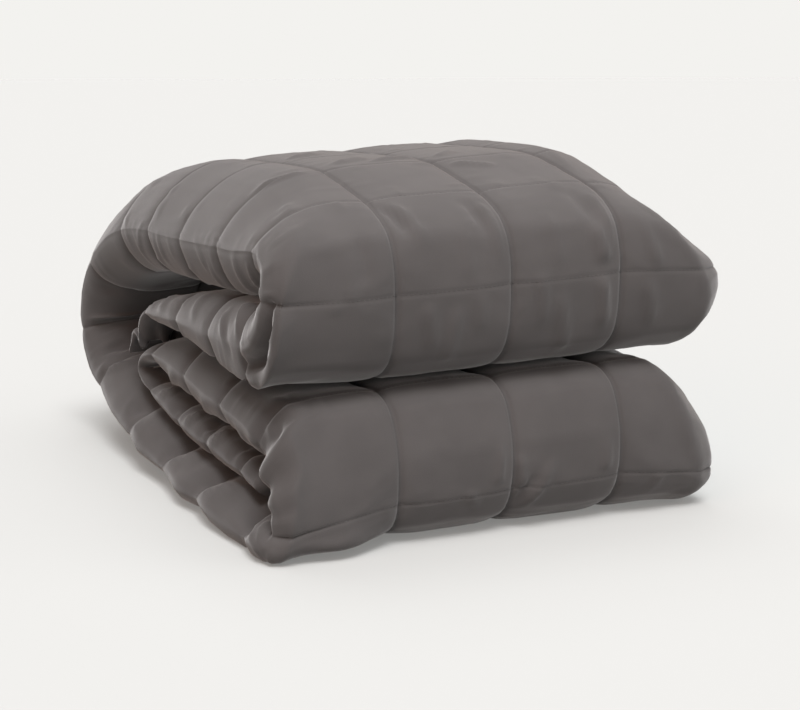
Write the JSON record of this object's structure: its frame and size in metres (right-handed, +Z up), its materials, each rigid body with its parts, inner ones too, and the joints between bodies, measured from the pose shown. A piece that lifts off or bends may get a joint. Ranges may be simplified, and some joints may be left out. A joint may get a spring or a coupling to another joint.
{
  "type": "folded weighted blanket",
  "caption": "Quilted weighted blanket folded into a thick soft block with two round folds in front and one broad fold behind.",
  "frame": {"origin": "bottom centre of the folded blanket's bounding box, on the surface it lies on", "axes": "+X to the right along the front folds, +Y from the front folds back to the broad fold, +Z up"},
  "size_m": [0.3832, 0.5192, 0.2661],
  "materials": {
    "cover_cloth": "matte brushed microfibre, warm dark grey"
  },
  "bodies": {
    "root": {"blanket": "cover_cloth"}
  },
  "joints": []
}
